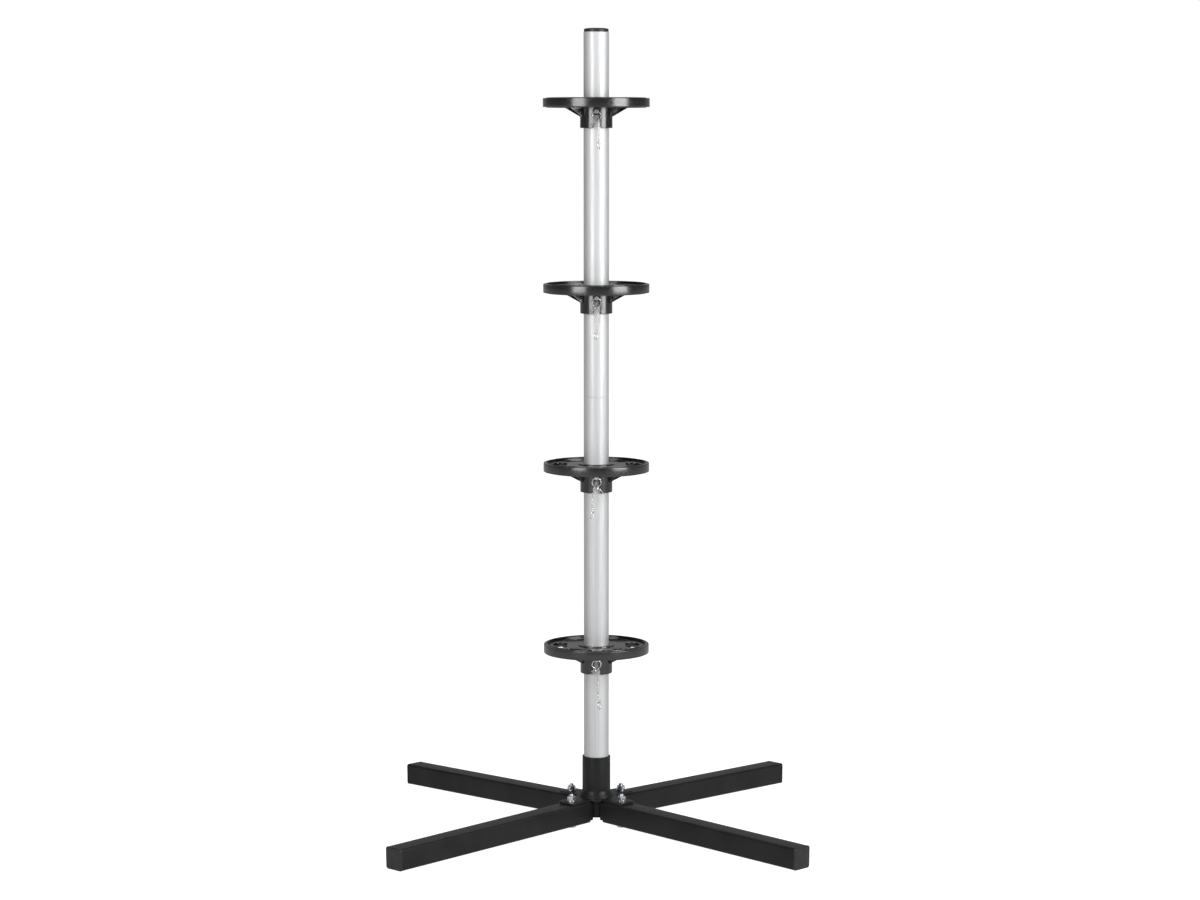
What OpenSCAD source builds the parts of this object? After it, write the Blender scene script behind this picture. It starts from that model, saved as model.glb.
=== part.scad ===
// Wheel tree: a rack that stores four loose wheels on one pole.
// Millimetres, +Z up, floor at z = 0, the pole's axis on the Z axis, front towards -Y.

/* [Base] */
// Outside width of the square leg tube
leg_w = 28; // [20:1:30]
// Wall of the leg tube
leg_wall = 1.5; // [1:0.1:2.5]
// Distance from the pole's axis to the outer face of a leg's end cap
leg_reach = 360; // [300:1:420]
// Rise of each leg from its tip to the middle, in degrees
leg_slope = 1.15; // [0.5:0.05:2]
// Distance from the axis to a leg bolt
leg_bolt_reach = 46; // [40:1:52]
// Top of the socket tube above the floor
socket_top = 91.5; // [75:0.5:110]
// Underside of the socket tube above the floor
socket_bottom = 11.5; // [8.5:0.5:12]

/* [Pole] */
// Outside diameter of the pole
pole_d = 33; // [30:0.5:36]
// Wall of the pole
pole_wall = 1.5; // [1:0.1:2]
// Height of the joint between the two pole sections
pole_joint_z = 568.5; // [550:0.5:580]
// Height of the upper section's top end
pole_top_z = 1040.5; // [1010:0.5:1080]
// Length of the sleeve inside the joint
sleeve_length = 120; // [80:2:160]

/* [Wheel plates] */
// Height of the lowest plate's rim above the floor
first_station = 230; // [210:1:240]
// Distance between two plates on the same pole section
station_pitch = 240; // [230:1:244]
// Distance between the two plates on either side of the pole joint
joint_pitch = 234; // [225:1:240]
// Outside diameter of a plate
plate_d = 138.4; // [120:0.2:150]
// Height of a plate's rim
rim_h = 11.5; // [9:0.5:14]
// Depth of a plate's collar below its rim
collar_drop = 27; // [24:0.5:30]

/* [Pins] */
// Diameter of a locating pin
pin_d = 5.9; // [5:0.1:6.2]
// Depth of a pin's axis below the rim of its plate
pin_drop = 5.5; // [5.5:0.1:7]
// Mean diameter of the wire ring on a pin
pin_ring_d = 11.5; // [11:0.5:13]
// Mean diameter of the split ring
link_ring_d = 14.4; // [12:0.2:15]

/* [Hidden] */
$fn = 48;
STATIONS = [1, 2, 3, 4];
CORNERS = ["rear_right", "rear_left", "front_left", "front_right"];
function numbered(name) = [for (k = STATIONS) str(name, "_", k)];
function cornered(name) = [for (corner = CORNERS) str(name, "_", corner)];

// base
leg_corner_r = 3;
leg_start = 25;
cap_flange = 2.5;
cap_lip = 0.2;
cap_plug_gap = 0.2;
cap_plug_wall = 1.8;
cap_plug_length = 14;
cap_plug_corner_r = 1.5;
stub_gap = 0.3;
stub_wall = 2;
stub_corner_r = 2;
stub_end = 76;
ear_t = 3;
ear_start = leg_start - 8;
ear_end = 58;
ear_corner_r = 5;
hub_disc_r = 26;
neck_h = 9;
neck_r = 23;
bolt_r = 3;
bolt_hole_r = 3.3;
bolt_head_af = 10;
bolt_head_h = 4;
washer_r = 6;
washer_t = 1.2;
nut_h = 5;
thread_stand_out = 2.8;
socket_gap = 0.3;
socket_wall = 1.7;
socket_floor_t = 3;

// pole
pole_r = pole_d / 2;
pole_bore_r = pole_r - pole_wall;
socket_bore_r = pole_r + socket_gap;
socket_r = socket_bore_r + socket_wall;
pole_bottom_z = socket_bottom + socket_floor_t;
pin_r = pin_d / 2;
pin_hole_r = pin_r + 0.25;
sleeve_r = pole_bore_r - 0.3;
sleeve_wall = 1.5;
rivet_r = 2;
rivet_drops = [16, 40];
rivet_tail = 1;
rivet_sunk = 0.2;
cap_top_h = 4;
cap_r = pole_r - 0.5;
cap_plug_r = pole_bore_r - 0.2;
cap_wall = 2;
cap_plug_depth = 10;
cap_edge = 1.2;
cap_dome = 1;

// plates
plate_r = plate_d / 2;
rim_w = 4.5;
rim_edge = 0.7;
web_low = 5.2;
web_top = 9.2;
slot_inner_r = 39;
slot_outer_r = 57;
slot_half_angle = 12;
slot_end_gap = 0.05;
collar_gap = 0.6;
collar_bore_r = pole_r + collar_gap;
collar_r = 21;
boss_r = 24;
boss_top = 10.4;
rib_t = 3.2;
rib_low = -14.5;
rib_reach = 41;
rib_tip_r = 60;
rib_tip_drop = 0.5;
rib_angles = [30, 150, 210, 330];
pin_slot_gap = 0.35;
slot_half_w = pin_r + pin_slot_gap;
notch_half_w = 5.5;
notch_h = 8;

// pins, rings and chains
pin_back_y = 27;
pin_front_y = -34;
pin_end_bevel = 0.8;
pin_head_r = 5;
pin_head_back_y = -22.2;
pin_head_t = 3.4;
eye_y = -31;
eye_r = 1.8;
pin_head_edge = 0.6;
ring_wire_r = 0.7;
pin_ring_r = pin_ring_d / 2;
link_wire_r = 0.6;
link_ring_r = link_ring_d / 2;
link_ring_lean = 41;
link_hook_up = 1.7;
link_hook_side = 1.75;
chain_side = 3;
jump_wire_r = 0.45;
jump_r = 2.6;
jump_play = 0.3;
chain_wire_r = 0.4;
chain_half_w = 1.1;
chain_half_l = 1.9;
chain_play = 0.15;
chain_step = 2 * (chain_half_l - chain_wire_r) - chain_play;
chain_end_wire_r = 0.55;
chain_end_r = 4.6;
chain_end_turn = 65;
// for the chains from the lowest plate up: side that it hangs on, number of links,
// how far it leans and sways sideways in degrees, and the lean of its end ring
CHAIN_SIDES = [1, -1, 1, 1];
CHAIN_LINKS = [15, 11, 11, 9];
CHAIN_LEANS = [1, -2, -7, 0];
CHAIN_SWAYS = [-9, -11, 6, 4];
CHAIN_END_LEANS = [0, -20, 0, 0];

STEEL_BLACK = [0.09, 0.09, 0.10];
PLASTIC_BLACK = [0.03, 0.03, 0.03];
SATIN_ALUMINIUM = [0.80, 0.81, 0.82];
ZINC = [0.75, 0.76, 0.78];

function station_z(k) =
    first_station + (k > 1 ? station_pitch : 0) + (k > 2 ? joint_pitch : 0) + (k > 3 ? station_pitch : 0);
function pin_z(k) = station_z(k) - pin_drop;
function ring_bottom_z(k) = pin_z(k) - 2 * pin_ring_r;
function on_lower(k) = station_z(k) < pole_joint_z;

// ---------- shapes used by several pieces ----------

// A square with rounded corners, centred
module rounded_square(width, corner_r) {
    square([width - 2 * corner_r, width], center = true);
    square([width, width - 2 * corner_r], center = true);
    for (x = [-1, 1], y = [-1, 1])
        translate([x * (width / 2 - corner_r), y * (width / 2 - corner_r)]) circle(corner_r);
}

// A square bar along X from x0 to x1
module square_bar(x0, x1, width, corner_r) {
    translate([x0, 0, 0]) rotate([90, 0, 90]) linear_extrude(x1 - x0) rounded_square(width, corner_r);
}

// A tube along Z
module round_tube(outer_r, inner_r, z0, z1) {
    translate([0, 0, z0]) difference() {
        cylinder(r = outer_r, h = z1 - z0);
        translate([0, 0, -1]) cylinder(r = inner_r, h = z1 - z0 + 2);
    }
}

// A round bar along Y
module cross_bar(r, y0, y1, z) {
    translate([0, y1, z]) rotate([90, 0, 0]) cylinder(r = r, h = y1 - y0);
}

// A wire ring around the Z axis
module wire_ring(ring_r, wire_r) {
    rotate_extrude() translate([ring_r, 0]) circle(wire_r);
}

// The frame of one leg: X runs out along the leg's middle line, the tip's underside is at the floor
module at_leg(i) {
    rotate([0, 0, 45 + 90 * i]) translate([leg_reach, 0, 0]) rotate([0, leg_slope, 0])
        translate([-leg_reach, 0, leg_w / 2]) children();
}

// The place of one leg bolt, on the top face of the leg
module at_leg_bolt(i) {
    at_leg(i) translate([leg_bolt_reach, 0, leg_w / 2]) children();
}

// ---------- base ----------

module socket_tube() {
    color(STEEL_BLACK) round_tube(socket_r, socket_bore_r, socket_bottom, socket_top);
}

module socket_floor() {
    color(STEEL_BLACK) translate([0, 0, socket_bottom])
        cylinder(r = socket_bore_r, h = socket_floor_t);
}

// Pressed plate welded round the socket: a disc with a coned neck and an ear on top of each leg
module spider_plate() {
    hub_low = (leg_reach - leg_start) * sin(leg_slope) + leg_w;
    color(STEEL_BLACK) difference() {
        union() {
            translate([0, 0, hub_low]) cylinder(r = hub_disc_r, h = ear_t);
            translate([0, 0, hub_low + ear_t])
                cylinder(r1 = neck_r, r2 = socket_r, h = neck_h);
            for (i = [0:3]) at_leg(i) translate([ear_start, 0, leg_w / 2 + ear_t / 2]) ear();
        }
        translate([0, 0, socket_bottom]) cylinder(r = socket_r, h = socket_top);
        for (i = [0:3]) at_leg_bolt(i) translate([0, 0, -ear_t]) cylinder(r = bolt_hole_r, h = 3 * ear_t);
    }
}

// One ear, with its two outer corners rounded
module ear() {
    corner = ear_corner_r;
    length = ear_end - ear_start;
    linear_extrude(ear_t, center = true) {
        translate([0, -leg_w / 2]) square([length - corner, leg_w]);
        translate([0, corner - leg_w / 2]) square([length, leg_w - 2 * corner]);
        for (side = [-1, 1])
            translate([length - corner, side * (leg_w / 2 - corner)]) circle(corner);
    }
}

// Four square arms welded to the socket; a leg slides over each one
module stub_arms() {
    width = leg_w - 2 * leg_wall - 2 * stub_gap;
    color(STEEL_BLACK) for (i = [0:3]) difference() {
        at_leg(i) square_bar(pole_r, stub_end, width, stub_corner_r);
        at_leg(i) square_bar(0, stub_end + 1, width - 2 * stub_wall, stub_corner_r / 2);
        cylinder(r = socket_r, h = socket_top);
        at_leg_bolt(i) translate([0, 0, -2 * leg_w]) cylinder(r = bolt_hole_r, h = 3 * leg_w);
    }
}

module leg(i) {
    color(STEEL_BLACK) difference() {
        at_leg(i) square_bar(leg_start, leg_reach - cap_flange, leg_w, leg_corner_r);
        at_leg(i) square_bar(leg_start - 1, leg_reach, leg_w - 2 * leg_wall, leg_corner_r - leg_wall);
        at_leg_bolt(i) translate([0, 0, -2 * leg_w]) cylinder(r = bolt_hole_r, h = 3 * leg_w);
    }
}

// End cap: a lip over the tube's end and a hollow plug inside it; its foot is cut level with the floor
module leg_cap(i) {
    plug = leg_w - 2 * leg_wall - 2 * cap_plug_gap;
    plug_start = leg_reach - cap_flange - cap_plug_length;
    color(PLASTIC_BLACK) difference() {
        union() {
            at_leg(i) square_bar(leg_reach - cap_flange, leg_reach, leg_w + 2 * cap_lip, leg_corner_r);
            at_leg(i) square_bar(plug_start, leg_reach - cap_flange / 2, plug, cap_plug_corner_r);
        }
        at_leg(i) square_bar(plug_start - 1, leg_reach - cap_flange, plug - 2 * cap_plug_wall,
            cap_plug_corner_r / 3);
        translate([-leg_reach, -leg_reach, -leg_w]) cube([2 * leg_reach, 2 * leg_reach, leg_w]);
    }
}

module leg_bolts() {
    color(ZINC) for (i = [0:3]) at_leg_bolt(i) {
        shank = leg_w + ear_t + washer_t + nut_h + thread_stand_out;
        translate([0, 0, -leg_w]) cylinder(r = bolt_r, h = shank);
        translate([0, 0, -leg_w - bolt_head_h])
            cylinder(d = bolt_head_af / cos(30), h = bolt_head_h, $fn = 6);
    }
}

module leg_washers() {
    color(ZINC) for (i = [0:3]) at_leg_bolt(i) translate([0, 0, ear_t]) difference() {
        cylinder(r = washer_r, h = washer_t);
        translate([0, 0, -1]) cylinder(r = bolt_hole_r, h = washer_t + 2);
    }
}

module leg_nuts() {
    color(ZINC) for (i = [0:3]) at_leg_bolt(i) translate([0, 0, ear_t + washer_t]) difference() {
        cylinder(d = bolt_head_af / cos(30), h = nut_h, $fn = 6);
        translate([0, 0, -1]) cylinder(r = bolt_r, h = nut_h + 2);
    }
}

// ---------- pole ----------

// A pole section with a hole right through it, front to back, for each plate's pin
module pole_section(z0, z1, stations) {
    color(SATIN_ALUMINIUM) difference() {
        round_tube(pole_r, pole_bore_r, z0, z1);
        for (k = stations) cross_bar(pin_hole_r, -pole_d, pole_d, pin_z(k));
        for (drop = rivet_drops) if (z0 < pole_joint_z)
            cross_bar(rivet_r, 0, pole_d, pole_joint_z - drop);
    }
}

module pole_lower() {
    pole_section(pole_bottom_z, pole_joint_z, [for (k = STATIONS) if (on_lower(k)) k]);
}

module pole_upper() {
    pole_section(pole_joint_z, pole_top_z, [for (k = STATIONS) if (!on_lower(k)) k]);
}

module joining_sleeve() {
    color(SATIN_ALUMINIUM) difference() {
        round_tube(sleeve_r, sleeve_r - sleeve_wall,
            pole_joint_z - sleeve_length / 2, pole_joint_z + sleeve_length / 2);
        for (drop = rivet_drops) cross_bar(rivet_r, 0, pole_d, pole_joint_z - drop);
    }
}

// Flush rivets at the back, which hold the sleeve in the lower section
module sleeve_rivets() {
    color(SATIN_ALUMINIUM) for (drop = rivet_drops)
        cross_bar(rivet_r, sleeve_r - sleeve_wall - rivet_tail, pole_r - rivet_sunk, pole_joint_z - drop);
}

module pole_cap() {
    top = pole_top_z + cap_top_h;
    plug_low = pole_top_z - cap_plug_depth;
    color(PLASTIC_BLACK) rotate_extrude() polygon([
        [0, top + cap_dome], [cap_r / 2, top + 0.75 * cap_dome], [cap_r - cap_edge, top],
        [cap_r, top - cap_edge], [cap_r, pole_top_z], [cap_plug_r, pole_top_z], [cap_plug_r, plug_low],
        [cap_plug_r - cap_wall, plug_low], [cap_plug_r - cap_wall, top - cap_wall], [0, top - cap_wall]]);
}

// ---------- wheel plates ----------

// Spoked plate with a flat rim that carries the wheel and a slotted collar that drops over its pin
module wheel_plate(k) {
    color(PLASTIC_BLACK) translate([0, 0, station_z(k)]) difference() {
        union() {
            rotate_extrude() plate_profile();
            for (angle = rib_angles) rotate([0, 0, angle]) plate_rib();
        }
        for (i = [0:5]) rotate([0, 0, 60 * i]) kidney_slot();
        translate([0, 0, -pin_drop]) pin_slot();
    }
}

// Half section of rim, web, boss and collar
module plate_profile() {
    polygon([
        [collar_bore_r, -collar_drop], [collar_r, -collar_drop], [collar_r, web_low],
        [plate_r - rim_w, web_low], [plate_r - rim_w, 0], [plate_r - rim_edge, 0], [plate_r, rim_edge],
        [plate_r, rim_h - rim_edge], [plate_r - rim_edge, rim_h], [plate_r - rim_w, rim_h],
        [plate_r - rim_w, web_top], [boss_r, web_top], [boss_r - 1, boss_top], [collar_bore_r, boss_top]]);
}

// Triangular rib from the collar to the underside of a spoke
module plate_rib() {
    inside = collar_r - 1;
    rotate([90, 0, 0]) linear_extrude(rib_t, center = true) polygon([
        [inside, web_low + 1], [inside, rib_low], [rib_reach, 0], [rib_tip_r, web_low - rib_tip_drop],
        [rib_tip_r, web_low + 1]]);
}

// Curved slot between two spokes, with round ends a hair narrower than the slot
module kidney_slot() {
    middle_r = (slot_inner_r + slot_outer_r) / 2;
    end_r = (slot_outer_r - slot_inner_r) / 2 - slot_end_gap;
    translate([0, 0, web_low - 1]) linear_extrude(web_top - web_low + 2) {
        intersection() {
            difference() {
                circle(slot_outer_r);
                circle(slot_inner_r);
            }
            wedge = 2 * slot_outer_r;
            polygon([[0, 0], [wedge, -wedge * tan(slot_half_angle)], [wedge, wedge * tan(slot_half_angle)]]);
        }
        for (side = [-1, 1]) rotate(side * slot_half_angle) translate([middle_r, 0]) circle(end_r);
    }
}

// Slot through both walls of the collar: round over the pin, open and flared at the bottom
module pin_slot() {
    low = pin_drop - collar_drop;
    rotate([90, 0, 0]) linear_extrude(2 * boss_r, center = true) {
        circle(slot_half_w);
        translate([-slot_half_w, low - 1]) square([2 * slot_half_w, 1 - low]);
        polygon([[-notch_half_w, low], [-notch_half_w, low - 1], [notch_half_w, low - 1],
            [notch_half_w, low], [slot_half_w, low + notch_h], [-slot_half_w, low + notch_h]]);
    }
}

// ---------- pins, rings and chains ----------

// Steel pin through the pole, with a cross hole in its front end for the ring
module pin(k) {
    color(ZINC) difference() {
        translate([0, pin_back_y, pin_z(k)]) rotate([90, 0, 0]) rotate_extrude() polygon([
            [0, 0], [pin_r - pin_end_bevel, 0], [pin_r, 2 * pin_end_bevel],
            [pin_r, pin_back_y - pin_front_y - pin_end_bevel],
            [pin_r - pin_end_bevel, pin_back_y - pin_front_y], [0, pin_back_y - pin_front_y]]);
        translate([-pin_d, eye_y, pin_z(k)]) rotate([0, 90, 0]) cylinder(r = eye_r, h = 2 * pin_d);
    }
}

// Round head pressed on the pin, which stops against the collar
module pin_head(k) {
    front = pin_head_t;
    color(PLASTIC_BLACK) translate([0, pin_head_back_y, pin_z(k)]) rotate([90, 0, 0])
        rotate_extrude() polygon([
            [pin_r, 0], [pin_head_r, 0], [pin_head_r, front - pin_head_edge],
            [pin_head_r - pin_head_edge, front], [pin_r, front]]);
}

module pin_ring(k) {
    color(ZINC) translate([0, eye_y, pin_z(k) - pin_ring_r]) rotate([90, 0, 0])
        wire_ring(pin_ring_r, ring_wire_r);
}

// Split ring that hangs in the pin's ring and leans to one side against the collar
module link_ring(k) {
    side = -CHAIN_SIDES[k - 1];
    color(ZINC) translate([0, eye_y, ring_bottom_z(k)]) mirror([side < 0 ? 1 : 0, 0, 0])
        translate([-link_hook_side, 0, link_hook_up]) rotate([0, link_ring_lean, 0])
            translate([link_ring_r, 0, 0]) wire_ring(link_ring_r, link_wire_r);
}

// An oval chain link, its length along Z and its width along X
module chain_link() {
    straight = chain_half_l - chain_half_w;
    for (end = [-1, 1]) {
        translate([0, 0, end * straight]) rotate([90, 0, 0])
            rotate([0, 0, end < 0 ? 180 : 0]) rotate_extrude(angle = 180)
                translate([chain_half_w, 0]) circle(chain_wire_r, $fn = 24);
        translate([end * chain_half_w, 0, -straight]) cylinder(r = chain_wire_r, h = 2 * straight, $fn = 24);
    }
}

// Lean of link i of a chain, and the place in XZ where link i takes hold of the one above
function link_lean(k, i) = CHAIN_LEANS[k - 1] + CHAIN_SWAYS[k - 1] * sin(360 * i / CHAIN_LINKS[k - 1]);
function link_place(k, i) =
    i == 0 ? [0, 0] : link_place(k, i - 1)
        + chain_step * [sin(link_lean(k, i - 1)), -cos(link_lean(k, i - 1))];

// Short chain: a jump ring on the pin's ring, oval links turned by quarters, and an end ring
module keeper_chain(k) {
    links = CHAIN_LINKS[k - 1];
    hook_z = pin_z(k) - pin_ring_r - sqrt(pow(pin_ring_r, 2) - pow(chain_side, 2));
    jump_z = hook_z + ring_wire_r + jump_wire_r + jump_play - jump_r;
    last = link_place(k, links);
    last_lean = link_lean(k, links - 1);
    color(ZINC) translate([CHAIN_SIDES[k - 1] * chain_side, eye_y, jump_z]) {
        rotate([0, 90, 0]) wire_ring(jump_r, jump_wire_r);
        translate([0, 0, jump_wire_r + chain_play / 2 - jump_r]) {
            for (i = [0:links - 1]) {
                place = (link_place(k, i) + link_place(k, i + 1)) / 2;
                translate([place[0], 0, place[1]]) rotate([0, -link_lean(k, i), 0])
                    rotate([0, 0, 90 * (i % 2)]) chain_link();
            }
            translate([last[0], 0, last[1]]) rotate([0, -last_lean, 0])
                translate([0, 0, chain_end_wire_r + chain_play / 2])
                    rotate([0, last_lean - CHAIN_END_LEANS[k - 1], 0]) translate([0, 0, -chain_end_r])
                        rotate([0, 0, chain_end_turn]) rotate([90, 0, 0])
                            wire_ring(chain_end_r, chain_end_wire_r);
        }
    }
}

// ---------- the whole rack ----------

socket_tube();
socket_floor();
spider_plate();
stub_arms();
for (i = [0:3]) {
    leg(i);
    leg_cap(i);
}
leg_bolts();
leg_washers();
leg_nuts();
pole_lower();
joining_sleeve();
sleeve_rivets();
pole_upper();
pole_cap();
for (k = STATIONS) {
    wheel_plate(k);
    pin(k);
    pin_head(k);
    pin_ring(k);
    link_ring(k);
    keeper_chain(k);
}
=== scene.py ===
"""A wheel tree: four spoked plates on a two-part aluminium pole, standing on a cross of square steel tube.

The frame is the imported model's: Z up, floor at z = 0, front towards -Y. Sizes in each section are in
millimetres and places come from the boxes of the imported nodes; make_piece() turns both into metres.
"""
import math

import bmesh
import bpy
import numpy as np
from mathutils.geometry import delaunay_2d_cdt
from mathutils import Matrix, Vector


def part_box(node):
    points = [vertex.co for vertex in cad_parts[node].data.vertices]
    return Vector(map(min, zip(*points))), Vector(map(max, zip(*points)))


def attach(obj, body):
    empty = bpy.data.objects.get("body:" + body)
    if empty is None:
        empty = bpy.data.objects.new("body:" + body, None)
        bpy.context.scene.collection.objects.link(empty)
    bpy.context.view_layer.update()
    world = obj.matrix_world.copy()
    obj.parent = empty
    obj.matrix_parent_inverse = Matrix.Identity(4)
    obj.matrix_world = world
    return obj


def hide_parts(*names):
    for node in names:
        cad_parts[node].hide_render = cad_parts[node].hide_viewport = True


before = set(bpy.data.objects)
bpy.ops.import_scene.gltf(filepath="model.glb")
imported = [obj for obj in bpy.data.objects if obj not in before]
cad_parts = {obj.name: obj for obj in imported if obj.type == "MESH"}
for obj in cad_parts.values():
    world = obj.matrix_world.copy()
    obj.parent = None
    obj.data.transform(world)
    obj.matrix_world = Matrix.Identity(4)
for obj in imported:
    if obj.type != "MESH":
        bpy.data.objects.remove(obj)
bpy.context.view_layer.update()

scene = bpy.context.scene

# ---------- camera ----------
# A long lens four metres off, just under the height of the top plate and looking slightly down,
# half a degree to the left of straight ahead.
CAMERA_DISTANCE = 3.954
CAMERA_HEIGHT = 0.9195
CAMERA_BEARING = math.radians(-0.45)
CAMERA_TURN = math.radians(-0.52)
CAMERA_DOWN = math.radians(6.088)
CAMERA_LENS = 91.1

camera = bpy.data.objects.new("camera", bpy.data.cameras.new("camera"))
scene.collection.objects.link(camera)
camera.data.sensor_width = 36
camera.data.lens = CAMERA_LENS
camera.data.clip_end = 60
camera.location = (CAMERA_DISTANCE * math.sin(CAMERA_BEARING), -CAMERA_DISTANCE * math.cos(CAMERA_BEARING),
                   CAMERA_HEIGHT)
camera.rotation_euler = (math.pi / 2 - CAMERA_DOWN, 0, CAMERA_TURN)
scene.camera = camera

# ---------- studio ----------
# A white room: a pale floor that fades into a white surround, a tall softbox to the left and one to
# the right in front, and a broad soft light overhead. Floor and surround are white to the camera, and
# light the rack less than they seem to.
FLOOR_HALF = 14.0
FLOOR_DROP = 0.0002
FLOOR_GLOW = 0.38
FLOOR_GLOW_SEEN = 1.0
SOFTBOX_DISTANCE = 2.4
SOFTBOX_LOW = 0.42
SOFTBOX_HIGH = 2.5
OVERHEAD_SIZE = 4.0
OVERHEAD_POWER = 46
OVERHEAD_PLACE = (0, -0.4, 4.2)
ROOM_GLOW_FRONT = 0.12
ROOM_GLOW_BEHIND = 0.34

scene.view_settings.view_transform = "Standard"

floor = bpy.data.objects.new("floor", bpy.data.meshes.new("floor"))
scene.collection.objects.link(floor)
floor.data.from_pydata(
    [(x * FLOOR_HALF, y * FLOOR_HALF, -FLOOR_DROP) for x, y in ((-1, -1), (1, -1), (1, 1), (-1, 1))],
    [], [(0, 1, 2, 3)])
floor_paint = bpy.data.materials.new("white_floor")
floor_paint.use_nodes = True
floor_shader = floor_paint.node_tree.nodes["Principled BSDF"]
floor_shader.inputs["Base Color"].default_value = (0.30, 0.30, 0.30, 1)
floor_shader.inputs["Roughness"].default_value = 0.9
floor_shader.inputs["Specular IOR Level"].default_value = 0.1
floor_shader.inputs["Emission Color"].default_value = (1, 1, 1, 1)
floor_nodes, floor_links = floor_paint.node_tree.nodes, floor_paint.node_tree.links
floor_ray = floor_nodes.new("ShaderNodeLightPath")
floor_glow = floor_nodes.new("ShaderNodeMapRange")
floor_glow.inputs["To Min"].default_value = FLOOR_GLOW
floor_glow.inputs["To Max"].default_value = FLOOR_GLOW_SEEN
floor_links.new(floor_ray.outputs["Is Camera Ray"], floor_glow.inputs["Value"])
floor_links.new(floor_glow.outputs["Result"], floor_shader.inputs["Emission Strength"])
floor.data.materials.append(floor_paint)


def softbox(name, bearing, width, low, high, power):
    """A soft panel standing at this bearing from straight ahead, facing the pole."""
    light = bpy.data.lights.new(name, "AREA")
    light.shape = "RECTANGLE"
    light.size = width
    light.size_y = high - low
    light.energy = power
    holder = bpy.data.objects.new(name, light)
    scene.collection.objects.link(holder)
    angle = math.radians(bearing)
    holder.location = (
        SOFTBOX_DISTANCE * math.sin(angle), -SOFTBOX_DISTANCE * math.cos(angle), (low + high) / 2)
    holder.rotation_euler = (math.pi / 2, 0, angle)


softbox("softbox_left", -38, 1.15, SOFTBOX_LOW, SOFTBOX_HIGH, 50)
softbox("softbox_right", 53, 1.35, SOFTBOX_LOW, SOFTBOX_HIGH, 74)

overhead = bpy.data.lights.new("overhead", "AREA")
overhead.size = OVERHEAD_SIZE
overhead.energy = OVERHEAD_POWER
overhead_holder = bpy.data.objects.new("overhead", overhead)
scene.collection.objects.link(overhead_holder)
overhead_holder.location = OVERHEAD_PLACE

# The surround is white where the camera sees it. As a light it is dim from the front and the sides, so
# that black parts stay black, and brighter from straight behind the rack, towards +Y.
room = bpy.data.worlds.new("room")
room.use_nodes = True
scene.world = room
nodes, links = room.node_tree.nodes, room.node_tree.links
direction = nodes.new("ShaderNodeTexCoord")
parts_of_direction = nodes.new("ShaderNodeSeparateXYZ")
links.new(direction.outputs["Generated"], parts_of_direction.inputs["Vector"])
behind = nodes.new("ShaderNodeMapRange")
behind.interpolation_type = "SMOOTHSTEP"
behind.inputs["From Min"].default_value = 0.55
behind.inputs["From Max"].default_value = 0.98
behind.inputs["To Min"].default_value = ROOM_GLOW_FRONT
behind.inputs["To Max"].default_value = ROOM_GLOW_BEHIND
links.new(parts_of_direction.outputs["Y"], behind.inputs["Value"])
seen_or_lit = nodes.new("ShaderNodeLightPath")
white_where_seen = nodes.new("ShaderNodeMix")
white_where_seen.inputs["B"].default_value = 1.0
links.new(seen_or_lit.outputs["Is Camera Ray"], white_where_seen.inputs["Factor"])
links.new(behind.outputs["Result"], white_where_seen.inputs["A"])
links.new(white_where_seen.outputs["Result"], nodes["Background"].inputs["Strength"])
nodes["Background"].inputs["Color"].default_value = (1, 1, 1, 1)

# ---------- legs ----------
# Four lengths of square steel tube, powder coated black, which slope up from the tips to the middle.
# They are sawn square and slide over the stub arms of the socket.
MM = 0.001
LEG_REACH = 360.0
LEG_SLOPE = math.radians(1.15)
LEG_WIDTH = 28.0
LEG_CORNER = 3.0
LEG_WALL = 1.5
LEG_START = 25.0
CAP_LIP = 2.5
CORNERS = ["rear_right", "rear_left", "front_left", "front_right"]


def new_finish(name, colour, metallic, roughness):
    """A material with its node tree, its shader, and the piece's own coordinates in metres."""
    material = bpy.data.materials.new(name)
    material.use_nodes = True
    tree = material.node_tree
    shader = tree.nodes["Principled BSDF"]
    shader.inputs["Base Color"].default_value = (*colour, 1)
    shader.inputs["Metallic"].default_value = metallic
    shader.inputs["Roughness"].default_value = roughness
    return material, tree, shader, tree.nodes.new("ShaderNodeTexCoord").outputs["Object"]


def speckle(tree, space, size, stretch=(1, 1, 1), detail=3):
    """Soft noise whose grains are about this many millimetres across, times 1 / stretch each way."""
    mapping = tree.nodes.new("ShaderNodeMapping")
    mapping.inputs["Scale"].default_value = stretch
    tree.links.new(space, mapping.inputs["Vector"])
    noise = tree.nodes.new("ShaderNodeTexNoise")
    noise.inputs["Scale"].default_value = 1 / (size * MM)
    noise.inputs["Detail"].default_value = detail
    tree.links.new(mapping.outputs["Vector"], noise.inputs["Vector"])
    return noise.outputs["Fac"]


def vary(tree, source, low, high, socket):
    """Moves one of the shader's values between low and high with the noise."""
    spread = tree.nodes.new("ShaderNodeMapRange")
    spread.inputs["From Min"].default_value = 0.3
    spread.inputs["From Max"].default_value = 0.7
    spread.inputs["To Min"].default_value = low
    spread.inputs["To Max"].default_value = high
    tree.links.new(source, spread.inputs["Value"])
    tree.links.new(spread.outputs["Result"], socket)


def tint(tree, source, dark, light, socket):
    """Moves a colour between dark and light with the noise."""
    ramp = tree.nodes.new("ShaderNodeValToRGB")
    ramp.color_ramp.elements[0].position = 0.32
    ramp.color_ramp.elements[0].color = (*dark, 1)
    ramp.color_ramp.elements[1].position = 0.68
    ramp.color_ramp.elements[1].color = (*light, 1)
    tree.links.new(source, ramp.inputs["Fac"])
    tree.links.new(ramp.outputs["Color"], socket)


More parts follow.
